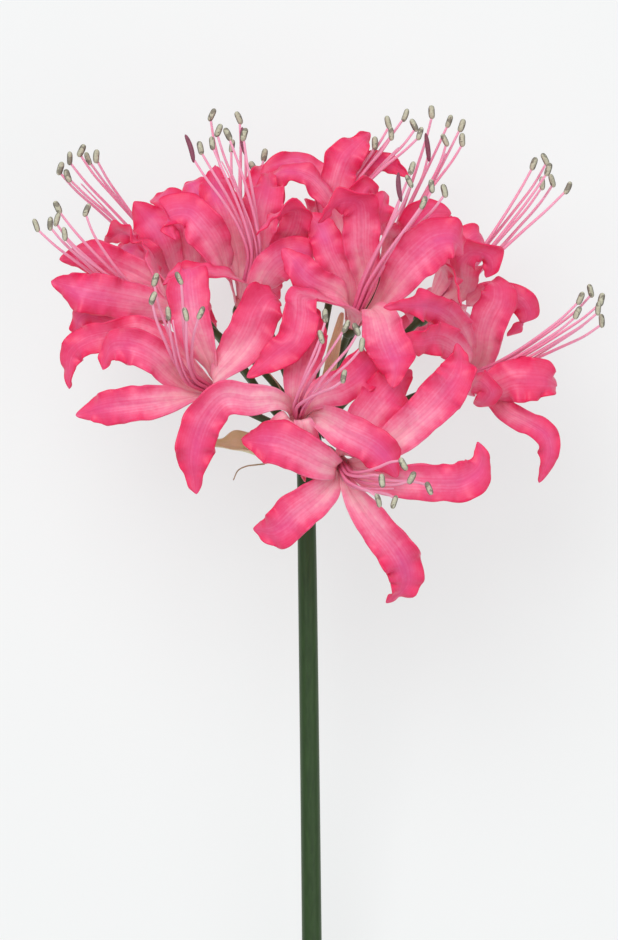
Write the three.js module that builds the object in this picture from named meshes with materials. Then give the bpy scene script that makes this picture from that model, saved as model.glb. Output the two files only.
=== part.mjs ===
// A cut nerine: one leafless stem, two papery spathe valves and an umbel of twelve florets, lying down.
//
// The flower is drawn first in its growing frame, in millimetres: the origin is the top of the stem,
// +Y runs up the stem into the umbel and +Z points at the side that ends up uppermost. At the end of the
// file it is laid down on the cut end of the stem and on the petals of its lowest florets.
import * as THREE from "three";

// Stem and spathe
const STEM_LENGTH = 300;
const STEM_RADIUS = 3.2;
const RECEPTACLE_RADIUS = 5.4;
const SPATHE_WIDTH = 11;
const SPATHE_WALL = 1;
const WITHERED_BRACT_WIDTH = 4;
const WITHERED_BRACT_WALL = 0.6;
const BRACTEOLE_RADIUS = 0.4;

// Florets
const UMBEL_SCALE = 1;
const PEDICEL_RADIUS = 1.25;
const OVARY_RADIUS = 2.5;
const OVARY_LENGTH = 5.5;
const PETAL_WIDTH_SCALE = 1;
const PETAL_WALL = 0.8;
const PETAL_CHANNEL = 0.1;
const CLAW_WIDTH = 2.8;
const FILAMENT_RADIUS = 0.5;
const STYLE_RADIUS = 0.42;
const ANTHER_LENGTH = 4.8;
const ANTHER_RADIUS = 1.05;
const CLOSED_ANTHER_LENGTH = 10;
const CLOSED_ANTHER_RADIUS = 0.85;

// Clearances between pieces that grow on each other
const GAP = 0.3;

// Whorls stand one above another on the floret's axis
const WHORL_HALF_HEIGHT = 0.7;
const OUTER_HUB_RADIUS = 2.3;
const INNER_HUB_RADIUS = 1.7;
const STAMEN_HUB_RADIUS = 1.15;
const WHORL_STEP = 2 * WHORL_HALF_HEIGHT + GAP;

const V = (x, y, z) => new THREE.Vector3(x, y, z);
const at = (point) => V(...point).multiplyScalar(UMBEL_SCALE);
const FRONT = [0, 0, 1];

// ---------------------------------------------------------------------------------------------------
// The florets. `throat` is the base of the flower and `axis` the way it opens. A petal's `path` is the
// points that its midrib passes through above the throat, and `face` is a direction that its broad side
// is turned to at mid blade. Three numbers are the middle of an open anther. With two more the anther is
// still closed: the point is one of its ends, and the two give the way it lies from there in X and Y.
const FLORETS = {
  a: {
    throat: [11, -7, 42],
    axis: [0.25, -0.35, 0.9],
    petals: [
      { path: [[-3, -24, 57], [-10, -30, 55], [-17, -29.5, 49]], width: 14, face: FRONT },
      { path: [[24, -30, 57], [31, -39, 56], [33, -48, 51], [26.5, -53.5, 46]], width: 13, face: FRONT },
      { path: [[40, -14, 54], [51, -14, 52], [58.5, -8, 49], [56.5, -1, 46]], width: 13, face: FRONT },
      { path: [[-4, -3, 60], [-12, -0.5, 60], [-21, -0.3, 54]], width: 15, face: FRONT },
      { path: [[20, 7, 53], [25, 13, 52], [30, 19, 47], [35, 23, 41]], width: 15, face: FRONT },
      { path: [[36, 6, 51], [45, 15, 48], [51, 25, 42], [50, 32, 37]], width: 14, face: FRONT },
    ],
    anthers: [
      [32, -8, 76], [34.5, -12.5, 79], [25, -13.5, 82],
      [23.5, -20, 80], [29, -20.5, 78], [40.3, -16, 74],
    ],
  },
  b: {
    throat: [-3, 6, 46],
    axis: [0.1, 0.4, 0.9],
    petals: [
      {
        path: [[-18, 13, 62], [-27, 13.5, 64], [-34, 5, 62], [-37, -7, 58], [-36, -18, 53]],
        width: 13,
        face: FRONT,
      },
      { path: [[14, 2, 63], [22, -2, 65], [27, -7, 63], [30, -12.5, 58]], width: 13, face: FRONT },
      { path: [[-1, 27, 52], [1, 37, 46], [2, 44, 38]], width: 13, face: FRONT },
      { path: [[13, 18, 52], [20, 24, 48], [24, 30, 41]], width: 13, face: FRONT },
      { path: [[1, -4, 52], [2, -8, 46], [2, -9, 37], [1, -8, 29]], width: 10 },
      { path: [[-13, -2, 53], [-16, -3, 46], [-16, -3, 37], [-14, -2, 30]], width: 10 },
    ],
    anthers: [[6.5, 40.5, 70], [5, 33.5, 74], [13, 37, 73], [16.5, 36, 71], [18.3, 31, 76], [12.5, 20.5, 82]],
  },
  c: {
    throat: [-29, 15, 36],
    axis: [-0.55, 0.35, 0.75],
    petals: [
      { path: [[-50, 12.5, 49], [-58, 11.5, 49], [-66, 10.5, 47], [-76, 8, 42]], width: 12, face: FRONT },
      { path: [[-50, 27.5, 50], [-58, 31, 51], [-65, 30, 47], [-67, 23, 44]], width: 12, face: FRONT },
      {
        path: [[-52, 36, 39], [-62, 35, 39], [-71, 33, 37], [-78, 28, 34], [-78, 17, 30]],
        width: 10,
        face: FRONT,
      },
      { path: [[-37, 37, 49], [-39, 48, 46], [-40, 57, 41], [-46, 54, 38]], width: 14, face: FRONT },
      { path: [[-19.5, 33, 48], [-15.5, 42, 50], [-11, 48, 47], [-8, 44.5, 42]], width: 15, face: FRONT },
      { path: [[-36, 2, 43], [-38, -5, 38], [-37, -11, 31]], width: 9 },
    ],
    anthers: [
      [-49.5, 52.5, 58], [-41.5, 53, 60], [-50, 46.3, 62],
      [-45.2, 41.3, 64], [-39.5, 41, 66], [-34.5, 41.5, 69],
    ],
  },
  d: {
    throat: [-40, 41, 10],
    axis: [-0.85, 0.35, 0.4],
    petals: [
      { path: [[-63, 47, 27], [-74, 49, 27], [-84.5, 52.5, 23]], width: 14, face: FRONT },
      { path: [[-63, 58, 12], [-74, 61, 13], [-82, 60, 12]], width: 12, face: FRONT },
      { path: [[-63, 40, 20], [-71, 42, 20], [-76, 39, 17], [-75, 34, 13]], width: 9, face: FRONT },
      { path: [[-60, 36, -4], [-68, 34, -12], [-72, 33, -21]], width: 11 },
      { path: [[-60, 50, -12], [-68, 52, -22], [-71, 50, -33]], width: 11 },
      { path: [[-53, 63, 2], [-61, 69, -3], [-67, 66, -10]], width: 11 },
    ],
    anthers: [
      [-89.5, 71, 24], [-84.5, 71.5, 28], [-82.5, 73, 22],
      [-82.5, 77, 20], [-72.5, 76, 26], [-80, 68, 32],
    ],
  },
  e: {
    throat: [-37, 45, -16],
    axis: [-0.5, 0.65, -0.55],
    petals: [
      { path: [[-54, 61, -8], [-61, 63, -12], [-63, 58, -18]], width: 12, face: FRONT },
      { path: [[-50, 70, -6], [-57.5, 79.5, -10]], width: 13, face: FRONT },
      { path: [[-41, 72, -10], [-46, 80, -14], [-52, 80, -22]], width: 11, face: FRONT },
      { path: [[-54, 46, -40], [-58, 42, -52], [-57, 37, -62]], width: 12 },
      { path: [[-37, 42, -44], [-35, 38, -55], [-30, 35, -62]], width: 12 },
      { path: [[-31, 61, -40], [-28, 64, -51], [-27, 60, -61]], width: 12 },
    ],
    anthers: [
      [-82.3, 91, -20], [-79.3, 94.5, -24], [-79.6, 88.5, -16],
      [-75.3, 97, -20], [-73, 94.5, -26], [-70, 95, -18],
    ],
  },
  f: {
    throat: [-21.5, 44.5, 17],
    axis: [0.2, 0.85, 0.45],
    petals: [
      { path: [[-33, 69, 34], [-40, 75, 34], [-46, 73, 35], [-43, 66, 37]], width: 14, face: FRONT },
      { path: [[-33, 55.5, 34], [-42, 55, 35], [-47, 51, 34]], width: 8, face: [0, 0.7, 0.7] },
      { path: [[-4, 70, 35], [-2, 75, 39], [-8, 75, 43], [-16.5, 67.5, 44]], width: 11, face: FRONT },
      { path: [[-26, 74, 24], [-30, 84, 20], [-30, 91, 13]], width: 12, face: FRONT },
      { path: [[-15, 75, 20], [-13, 84, 16], [-12, 89, 9]], width: 13, face: FRONT },
      { path: [[-11, 57, 32], [-5, 61, 35], [0, 60, 33], [2, 55, 28]], width: 13, face: FRONT },
    ],
    anthers: [
      [-35, 96.5, 30], [-31, 98, 32], [-29, 102.5, 24],
      [-26, 101, 30], [-20.3, 101, 26], [-40, 101, 34, 3, -10],
    ],
  },
  g: {
    throat: [15, 38, 26],
    axis: [0.3, 0.75, 0.6],
    petals: [
      { path: [[8, 62, 36], [5, 70, 35], [1, 75, 30]], width: 11, face: FRONT },
      { path: [[18, 67, 40], [18, 77, 44], [12, 78.5, 48], [4, 71.5, 49]], width: 13, face: FRONT },
      { path: [[35, 59, 43], [44, 66, 46], [50, 66, 43], [52, 61, 36]], width: 16, face: FRONT },
      { path: [[27, 31, 49], [29.5, 24, 54], [28.5, 17, 54]], width: 15, face: FRONT },
      { path: [[1, 53, 46], [-4, 59, 48], [-8, 63, 45]], width: 11, face: FRONT },
      {
        path: [[-2, 47, 53], [-1.5, 41, 58], [-3, 34, 60], [-11, 27, 59], [-19.5, 20.5, 55]],
        width: 12,
        face: FRONT,
      },
    ],
    anthers: [
      [35, 89.5, 42], [34, 85, 48], [38.5, 78, 52],
      [41.5, 83.5, 47], [45.5, 82, 43], [30.5, 88, 52, 1, -10],
    ],
  },
  h: {
    throat: [10, 60, -2],
    axis: [0.15, 0.95, -0.25],
    petals: [
      { path: [[10, 85, 0], [13, 94, -3], [21.5, 102.5, -8]], width: 12, face: FRONT },
      {
        path: [[7, 81, 7], [1, 87.5, 8], [-6, 89, 8], [-12, 86, 7], [-14, 81, 5]],
        width: 8,
        face: [0, 0.6, 0.8],
      },
      {
        path: [[5, 84, -6], [2, 91, -6], [-5, 93, -5], [-12, 91, -4], [-15, 87, -4]],
        width: 8,
        face: [0, 0.6, 0.8],
      },
      { path: [[18, 84, -14], [20, 92, -12], [28, 92.5, -8], [34, 88, -6]], width: 8, face: [0, 0.6, 0.8] },
      { path: [[18, 79, 9], [21, 84, 9], [23, 80, 6]], width: 11, face: FRONT },
      { path: [[13, 74, -28], [14, 78, -40], [14, 75, -52]], width: 11 },
    ],
    anthers: [[27.5, 106, -5], [28.3, 102, 3], [33, 108.5, -8], [36, 105, -4], [38, 102, 3], [23, 99, -4]],
  },
  i: {
    throat: [40, 42, -8],
    axis: [0.65, 0.6, -0.45],
    petals: [
      { path: [[53, 61, 10], [58, 63, 12], [62, 58, 10], [60, 54, 8]], width: 13, face: FRONT },
      { path: [[52, 63, 0], [57, 68, -2], [60, 65, -7]], width: 11, face: FRONT },
      { path: [[63, 49, 0], [72, 46, 0], [74, 41, -2], [67, 35, -4]], width: 9, face: FRONT },
      { path: [[46, 58, 18], [48, 57, 31], [50, 50, 38], [51, 44, 39]], width: 9, face: FRONT },
      { path: [[55, 37, -36], [60, 34, -49], [61, 29, -59]], width: 12 },
      { path: [[36, 38, -38], [33, 34, -50], [28, 31, -58]], width: 12 },
    ],
    anthers: [
      [76.3, 92.5, -18], [80, 94, -22], [81, 90.5, -14],
      [79, 86, -20], [82.5, 87, -24], [87.5, 84.5, -18],
    ],
  },
  j: {
    throat: [46, 18, 6],
    axis: [0.92, 0.3, 0.25],
    petals: [
      {
        path: [[68, 8.5, 15], [75, 5, 15], [80, 1, 14], [81, -5, 12], [77.3, -14, 9]],
        width: 8,
        face: FRONT,
      },
      { path: [[70, 20, 18], [79, 19.5, 18], [83, 18, 12]], width: 15, face: FRONT },
      { path: [[60, 38, 13], [64, 47, 13], [63, 53, 9], [59, 52, 5]], width: 13, face: FRONT },
      { path: [[47, 41, 36], [37, 44, 48], [25.5, 43.5, 50]], width: 10, face: FRONT },
      { path: [[45, 33, 32], [37, 32, 41], [29, 33.5, 43]], width: 11, face: FRONT },
      { path: [[58, 19, 23], [61, 17, 25], [59, 13, 22], [56, 12, 18]], width: 8, face: FRONT },
    ],
    anthers: [[91, 47, 18], [94.5, 49.5, 14], [98, 46.5, 18], [97, 43.5, 22], [98, 39.5, 16], [90, 42, 26]],
  },
  k: {
    throat: [25, 55, -14],
    axis: [0.35, 0.75, -0.55],
    petals: [
      { path: [[36, 70, -2], [42, 76, -1], [48.5, 75.5, -4]], width: 13, face: FRONT },
      { path: [[24, 71, 8], [25, 79, 12], [27, 82, 6]], width: 11, face: FRONT },
      { path: [[42, 69, -34], [47, 70, -45], [47, 65, -55]], width: 12 },
      { path: [[27, 52, -42], [25, 48, -54], [21, 44, -62]], width: 12 },
      { path: [[15, 60, -40], [9, 59, -50], [3, 55, -57]], width: 12 },
      { path: [[22, 76, -29], [21, 82, -38], [20, 82, -48]], width: 11 },
    ],
    anthers: [
      [42.2, 110, -24], [48, 107, -28], [46.5, 100.5, -22],
      [52, 105.5, -24], [52.5, 100.5, -18], [40, 103, -20, 1, -8],
    ],
  },
  m: {
    throat: [-17, 52, -14],
    axis: [-0.2, 0.8, -0.55],
    petals: [
      { path: [[-35, 77, -8], [-39, 86, -10], [-42, 82, -14]], width: 11, face: FRONT },
      { path: [[-14, 78, -6], [-14, 88, -10], [-14, 92, -16]], width: 13, face: FRONT },
      { path: [[-3, 71, -25], [1, 76, -34], [1, 74, -44]], width: 11 },
      { path: [[-15, 55, -44], [-13, 52, -56], [-9, 48, -62]], width: 12 },
      { path: [[-22, 69, -36], [-21, 74, -47], [-18, 74, -57]], width: 12 },
      { path: [[-31, 72, -26], [-38, 76, -34], [-43, 73, -42]], width: 11 },
    ],
    anthers: [
      [-31.5, 109, -22], [-22.7, 108, -24], [-25, 99, -40],
      [-14, 96, -42], [-18, 92, -50], [-21.3, 105, -20, 1, -8],
    ],
  },
};

// ---------------------------------------------------------------------------------------------------
// Closed skins. A ring is a list of point numbers, in turn about the way that the skin grows.
class Skin {
  points = [];
  faces = [];

  add(point) {
    return this.points.push(point) - 1;
  }

  ring(points) {
    return points.map((point) => this.add(point));
  }

  bridge(lower, upper) {
    lower.forEach((point, n) => {
      const next = (n + 1) % lower.length;
      this.faces.push([point, lower[next], upper[next]], [point, upper[next], upper[n]]);
    });
  }

  // A blade's two sheets fold along the same lines, so that they stay apart where the blade twists.
  bridgeBlade(lower, upper) {
    lower.forEach((point, n) => {
      const next = (n + 1) % lower.length;
      if (n % 2) this.faces.push([point, lower[next], upper[n]], [lower[next], upper[next], upper[n]]);
      else this.faces.push([point, lower[next], upper[next]], [point, upper[next], upper[n]]);
    });
  }

  close(ring, point) {
    const apex = this.add(point);
    ring.forEach((corner, n) => this.faces.push([corner, ring[(n + 1) % ring.length], apex]));
  }

  openFrom(ring, point) {
    const apex = this.add(point);
    ring.forEach((corner, n) => this.faces.push([ring[(n + 1) % ring.length], corner, apex]));
  }

  // A flat end that runs across between the two long sides of a ring.
  openAcross(ring) {
    const half = ring.length / 2;
    const facing = (n) => ring[(ring.length - n) % ring.length];
    for (let n = 0; n < half; n++) {
      if (n > 0) this.faces.push([ring[n + 1], ring[n], facing(n)]);
      if (n < half - 1) this.faces.push([ring[n + 1], facing(n), facing(n + 1)]);
    }
  }

  geometry() {
    const geometry = new THREE.BufferGeometry().setFromPoints(this.points);
    geometry.setIndex(this.faces.flat());
    geometry.computeVertexNormals();
    return geometry;
  }
}

// A round or oval tube along points, with a radius and a flattening at each.
function tube(points, radii, sides, startCap = 0, endCap = 0) {
  const skin = new Skin();
  const frames = framesAlong(points, sideways(points[0], points[1]));
  const rings = points.map((point, n) => {
    const { normal, side } = frames[n];
    const corners = Array.from({ length: sides }, (_, corner) => {
      const angle = (2 * Math.PI * corner) / sides;
      return point
        .clone()
        .addScaledVector(normal, radii[n] * Math.cos(angle))
        .addScaledVector(side, radii[n] * Math.sin(angle));
    });
    return skin.ring(corners);
  });
  const last = points.length - 1;
  skin.openFrom(rings[0], points[0].clone().addScaledVector(frames[0].tangent, -startCap));
  rings.slice(1).forEach((ring, n) => skin.bridge(rings[n], ring));
  skin.close(rings[last], points[last].clone().addScaledVector(frames[last].tangent, endCap));
  return skin.geometry();
}

function sideways(from, to) {
  const along = to.clone().sub(from).normalize();
  const up = Math.abs(along.z) < 0.9 ? V(0, 0, 1) : V(0, 1, 0);
  return up.addScaledVector(along, -up.dot(along)).normalize();
}

// Tangent, inner normal and side at each point; the normal is carried along without turning.
function framesAlong(points, firstNormal) {
  const normal = firstNormal.clone();
  const turn = new THREE.Quaternion();
  let last = null;
  return points.map((point, n) => {
    const before = points[Math.max(n - 1, 0)];
    const after = points[Math.min(n + 1, points.length - 1)];
    const tangent = after.clone().sub(before).normalize();
    if (last) normal.applyQuaternion(turn.setFromUnitVectors(last, tangent));
    normal.addScaledVector(tangent, -normal.dot(tangent)).normalize();
    last = tangent;
    return { tangent, normal: normal.clone(), side: tangent.clone().cross(normal) };
  });
}

// ---------------------------------------------------------------------------------------------------
// Arms: a petal, filament or style is first only a chain of stations on the floret's hub.
const PETAL_STATIONS = [0, 0.09, 0.2, 0.33, 0.46, 0.59, 0.71, 0.82, 0.92, 1];
const PETAL_OUTLINE = [0, 0.08, 0.22, 0.47, 0.76, 0.95, 1, 0.84, 0.47, 0];
const THREAD_STATIONS = [0, 0.12, 0.3, 0.5, 0.7, 0.87, 1];
const ANTHER_STATIONS = [0.28, 0.75];
const ANTHER_LEAN = 0.35;
const ANTHER_SWING = 0.45;
const FUNNEL_HEIGHT = 9;
const FUNNEL_SPREAD = 4;
const FACE_STATION = 0.55;

function axesOf(floret) {
  const axis = V(...floret.axis).normalize();
  const up = V(0, 1, 0).addScaledVector(axis, -axis.y);
  if (up.length() < 0.2) up.set(0, 0, -1).addScaledVector(axis, axis.z);
  up.normalize();
  return { axis, up, right: up.clone().cross(axis) };
}

const clock = (axes, degrees) => {
  const angle = THREE.MathUtils.degToRad(degrees);
  return axes.up
    .clone()
    .multiplyScalar(Math.cos(angle))
    .addScaledVector(axes.right, Math.sin(angle));
};

// The same axes, turned the shortest way to a new direction.
function turnedTo(axes, direction) {
  const turn = new THREE.Quaternion().setFromUnitVectors(axes.axis, direction);
  return {
    axis: direction,
    up: axes.up.clone().applyQuaternion(turn),
    right: axes.right.clone().applyQuaternion(turn),
  };
}

function clockOf(axes, direction) {
  const angle = Math.atan2(direction.dot(axes.right), direction.dot(axes.up));
  return (THREE.MathUtils.radToDeg(angle) + 360) % 360;
}

function stationsOn(points, stations) {
  const curve = new THREE.CatmullRomCurve3(points, false, "centripetal");
  return stations.map((share) => curve.getPointAt(share));
}

// The six petals of a floret, shared between its two whorls in turn about the axis.
function petalArms(name, floret) {
  const axes = axesOf(floret);
  const throat = at(floret.throat);
  const petals = floret.petals.map((petal) => {
    const towards = at(petal.path[0]).sub(throat);
    return { ...petal, bearing: clockOf(axes, towards) };
  });
  petals.sort((one, other) => one.bearing - other.bearing);
  const start = petals.reduce((sum, petal, n) => sum + petal.bearing - 60 * n, 0) / petals.length;
  return petals.map((petal, n) => {
    const whorl = n % 2;
    const outward = clock(axes, start + 60 * n);
    const hubRadius = whorl ? INNER_HUB_RADIUS : OUTER_HUB_RADIUS;
    const level = GAP + WHORL_HALF_HEIGHT + whorl * WHORL_STEP;
    const base = throat
      .clone()
      .addScaledVector(axes.axis, level)
      .addScaledVector(outward, hubRadius);
    const funnel = base
      .clone()
      .addScaledVector(axes.axis, FUNNEL_HEIGHT)
      .addScaledVector(outward, FUNNEL_SPREAD);
    return {
      kind: "petal",
      floret: name,
      whorl,
      order: start + 60 * n,
      inward: outward.clone().negate(),
      face: petal.face && V(...petal.face),
      width: petal.width * PETAL_WIDTH_SCALE,
      centres: stationsOn([base, funnel, ...petal.path.map(at)], PETAL_STATIONS),
    };
  });
}

// An anther stands nearly upright about the place that its entry gives, or as its entry says; its
// filament meets the end of it that is nearer to the flower's throat.
function hungAnther([x, y, z, alongX, alongY], throat, turn) {
  const closed = alongX !== undefined;
  const length = closed ? CLOSED_ANTHER_LENGTH : ANTHER_LENGTH;
  const swing = ANTHER_SWING * Math.sin(2.4 * turn + throat.x);
  const lie = closed ? V(alongX, alongY, 0).normalize() : V(Math.sin(swing), Math.cos(swing), 0);
  const middle = at([x, y, z]);
  if (closed) middle.addScaledVector(lie, length / 2);
  const reach = middle.clone().sub(throat).normalize();
  if (lie.dot(reach) < 0) lie.negate();
  const lean = Math.max(0, ANTHER_LEAN - lie.dot(reach));
  lie.addScaledVector(reach, lean).normalize();
  return { end: middle.addScaledVector(lie, -length / 2), lie, closed };
}

// Six filaments and the style stand in a ring on the third hub; the style ends short of the anthers.
function threadArms(name, floret) {
  const axes = axesOf(floret);
  const throat = at(floret.throat);
  const ends = floret.anthers.map((anther, n) => hungAnther(anther, throat, n));
  const middle = ends
    .reduce((sum, { end }) => sum.add(end), V(0, 0, 0))
    .divideScalar(ends.length);
  const reach = middle.distanceTo(throat);
  const bundle = turnedTo(axes, middle.clone().sub(throat).normalize());
  const style = { end: throat.clone().lerp(middle, 0.93).addScaledVector(bundle.up, -3), style: true };
  const threads = [...ends, style].map((thread) => ({
    ...thread,
    bearing: clockOf(bundle, thread.end.clone().sub(middle)),
  }));
  threads.sort((one, other) => one.bearing - other.bearing);
  const spacing = 360 / threads.length;
  const start = threads.reduce((sum, t, n) => sum + t.bearing - spacing * n, 0) / threads.length;
  return threads.map((thread, n) => {
    const outward = clock(axes, start + spacing * n);
    const base = throat
      .clone()
      .addScaledVector(axes.axis, GAP + WHORL_HALF_HEIGHT + 2 * WHORL_STEP)
      .addScaledVector(outward, STAMEN_HUB_RADIUS);
    const funnel = base
      .clone()
      .addScaledVector(axes.axis, 0.3 * reach)
      .addScaledVector(outward, 1);
    const bend = funnel.clone().lerp(thread.end, 0.5).addScaledVector(axes.axis, 0.05 * reach);
    return {
      kind: thread.style ? "style" : "filament",
      floret: name,
      order: start + spacing * n,
      inward: outward.clone().negate(),
      lie: thread.lie,
      closed: thread.closed,
      width: 2 * FILAMENT_RADIUS,
      centres: stationsOn([base, funnel, bend, thread.end], THREAD_STATIONS),
    };
  });
}

// ---------------------------------------------------------------------------------------------------
// Frames of an arm, turned so that a petal's inner side looks the way that its entry asks for.
function turnTo(frame, direction) {
  const flat = direction.clone().addScaledVector(frame.tangent, -direction.dot(frame.tangent));
  return Math.atan2(flat.dot(frame.side), flat.dot(frame.normal));
}

// The shortest turn that shows either broad side: no blade is twisted by more than a quarter.
const broadsideTurn = (angle) => angle - Math.PI * Math.round(angle / Math.PI);

function armFrames(arm) {
  const frames = framesAlong(arm.centres, arm.inward);
  if (!arm.face) return frames;
  const broadest = PETAL_STATIONS.findIndex((share) => share > FACE_STATION);
  const wanted = broadsideTurn(turnTo(frames[broadest], arm.face));
  return frames.map((frame, n) => {
    const turn = wanted * THREE.MathUtils.smoothstep(PETAL_STATIONS[n], 0.08, FACE_STATION);
    const normal = frame.normal
      .clone()
      .multiplyScalar(Math.cos(turn))
      .addScaledVector(frame.side, Math.sin(turn));
    return { tangent: frame.tangent, normal, side: frame.tangent.clone().cross(normal) };
  });
}

const petalWidth = (arm, n) => CLAW_WIDTH * (1 - PETAL_OUTLINE[n]) + arm.width * PETAL_OUTLINE[n];

// ---------------------------------------------------------------------------------------------------
// Crowding: florets stand so close that petals would pass through each other. Each arm is filled with
// small balls, and where two arms touch, the one nearer the front is lifted and the other pressed back.
const BALL_SPACING = 2;
const TOUCH = 2.2 * PETAL_WIDTH_SCALE;
const CROWDING_ROUNDS = 40;
const FIXED_STATIONS = 2;

function ballsOf(arm, index) {
  const frames = armFrames(arm);
  const balls = [];
  for (let n = 0; n < arm.centres.length - 1; n++) {
    const length = arm.centres[n].distanceTo(arm.centres[n + 1]);
    const rows = Math.max(1, Math.round(length / BALL_SPACING));
    for (let row = 0; row < rows; row++) {
      const share = row / rows;
      const middle = arm.centres[n].clone().lerp(arm.centres[n + 1], share);
      const side = frames[n].side.clone().lerp(frames[n + 1].side, share);
      const isPetal = arm.kind === "petal";
      const from = isPetal ? petalWidth(arm, n) : arm.width;
      const to = isPetal ? petalWidth(arm, n + 1) : arm.width;
      const half = THREE.MathUtils.lerp(from, to, share) / 2;
      const across = Math.max(1, Math.round((2 * half) / BALL_SPACING));
      for (let column = 0; column < across; column++) {
        const offset = across === 1 ? 0 : half * ((2 * column) / (across - 1) - 1);
        const place = middle.clone().addScaledVector(side, offset);
        balls.push({ place, arm, index, station: n + share });
      }
    }
  }
  return balls;
}

function touchingPairs(balls) {
  const cells = new Map();
  const key = (x, y, z) => `${x},${y},${z}`;
  const cellOf = (ball) => [ball.place.x, ball.place.y, ball.place.z].map((v) => Math.floor(v / TOUCH));
  for (const ball of balls) {
    const name = key(...cellOf(ball));
    if (!cells.has(name)) cells.set(name, []);
    cells.get(name).push(ball);
  }
  const pairs = [];
  const reach = [-1, 0, 1];
  for (const ball of balls) {
    const [x, y, z] = cellOf(ball);
    for (const dx of reach) {
      for (const dy of reach) {
        for (const dz of reach) {
          for (const other of cells.get(key(x + dx, y + dy, z + dz)) ?? []) {
            if (other.index <= ball.index) continue;
            const sameFlower = other.arm.floret === ball.arm.floret;
            if (sameFlower && Math.min(other.station, ball.station) < 3) continue;
            if (other.place.distanceTo(ball.place) < TOUCH) pairs.push([ball, other]);
          }
        }
      }
    }
  }
  return pairs;
}

function crowd(arms) {
  for (let round = 0; round < CROWDING_ROUNDS; round++) {
    const balls = arms.flatMap(ballsOf);
    const pairs = touchingPairs(balls);
    if (!pairs.length) break;
    const depths = new Map();
    for (const [one, other] of pairs) {
      const name = `${one.index},${other.index}`;
      depths.set(name, (depths.get(name) ?? 0) + one.place.z - other.place.z);
    }
    const pushes = arms.map((arm) => arm.centres.map(() => []));
    for (const [one, other] of pairs) {
      const sign = Math.sign(depths.get(`${one.index},${other.index}`)) || 1;
      const want = (TOUCH - Math.abs(one.place.z - other.place.z)) / 2 + 0.1;
      pushes[one.index][Math.round(one.station)].push(sign * want);
      pushes[other.index][Math.round(other.station)].push(-sign * want);
    }
    arms.forEach((arm, index) => {
      const wanted = pushes[index].map((list) =>
        list.length ? (Math.max(...list, 0) + Math.min(...list, 0)) * 0.5 : 0,
      );
      arm.centres.forEach((centre, n) => {
        if (n < FIXED_STATIONS) return;
        const before = wanted[n - 1];
        const after = wanted[n + 1] ?? 0;
        centre.z += 0.6 * wanted[n] + 0.35 * (before + after);
      });
    });
  }
}

// ---------------------------------------------------------------------------------------------------
// From arms to skins. A blade is narrowed on the inside of a sharp bend, so that its rings don't cross.
const BEND_SHARE = 0.75;

function halfWidth(arm, frames, n, sign) {
  let half = petalWidth(arm, n) / 2;
  for (const [from, to] of [[n - 1, n], [n, n + 1]]) {
    if (from < 0 || to > arm.centres.length - 1) continue;
    const along = frames[from].tangent.clone().add(frames[to].tangent).normalize();
    const ahead = arm.centres[to].clone().sub(arm.centres[from]).dot(along);
    const closing = -sign * frames[to].side.clone().sub(frames[from].side).dot(along);
    if (closing > 0) half = Math.min(half, (BEND_SHARE * ahead) / closing);
  }
  return half;
}

function petalRing(skin, arm, frames, n) {
  const channel = PETAL_CHANNEL * petalWidth(arm, n);
  const { normal, side } = frames[n];
  const middle = arm.centres[n].clone().addScaledVector(normal, channel / 2);
  return skin.ring([
    middle.clone().addScaledVector(side, -halfWidth(arm, frames, n, -1)),
    middle.clone().addScaledVector(normal, -channel),
    middle.clone().addScaledVector(side, halfWidth(arm, frames, n, 1)),
    middle.clone().addScaledVector(normal, -channel - PETAL_WALL),
  ]);
}

function growPetal(skin, arm) {
  const frames = armFrames(arm);
  const last = arm.centres.length - 1;
  const rings = arm.centres.slice(0, last).map((_, n) => petalRing(skin, arm, frames, n));
  rings.slice(1).forEach((ring, n) => skin.bridgeBlade(rings[n], ring));
  skin.close(rings[last - 1], arm.centres[last]);
  return rings[0];
}

function squareRing(skin, centre, { normal, side }, radius) {
  return skin.ring([
    centre.clone().addScaledVector(side, -radius),
    centre.clone().addScaledVector(normal, radius),
    centre.clone().addScaledVector(side, radius),
    centre.clone().addScaledVector(normal, -radius),
  ]);
}

function growThread(skin, arm) {
  const filament = arm.kind === "filament";
  const points = filament ? [...arm.centres] : arm.centres.slice(0, -1);
  const radii = points.map(() => (filament ? FILAMENT_RADIUS : STYLE_RADIUS));
  let end = arm.centres[arm.centres.length - 1];
  if (filament) {
    const length = arm.closed ? CLOSED_ANTHER_LENGTH : ANTHER_LENGTH;
    ANTHER_STATIONS.forEach((share) => {
      points.push(end.clone().addScaledVector(arm.lie, length * share));
      radii.push(arm.closed ? CLOSED_ANTHER_RADIUS : ANTHER_RADIUS);
    });
    end = end.clone().addScaledVector(arm.lie, length);
  }
  const frames = framesAlong(points, arm.inward);
  const rings = points.map((point, n) => squareRing(skin, point, frames[n], radii[n]));
  rings.slice(1).forEach((ring, n) => skin.bridge(rings[n], ring));
  skin.close(rings[rings.length - 1], end);
  return rings[0];
}

// Arms that share a hub are one closed body: two caps, above and below, run between their first rings.
function hubGeometry(arms, grow, centre, axis) {
  const skin = new Skin();
  const inTurn = [...arms].sort((one, other) => other.order - one.order);
  const rings = inTurn.map((arm) => grow(skin, arm));
  const top = skin.add(centre.clone().addScaledVector(axis, WHORL_HALF_HEIGHT));
  const bottom = skin.add(centre.clone().addScaledVector(axis, -WHORL_HALF_HEIGHT));
  rings.forEach(([left, inner, right, outer], n) => {
    const nextRight = rings[(n + 1) % rings.length][2];
    skin.faces.push([top, right, inner], [top, inner, left], [top, left, nextRight]);
    skin.faces.push([bottom, outer, right], [bottom, left, outer], [bottom, nextRight, left]);
  });
  return skin.geometry();
}

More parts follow.
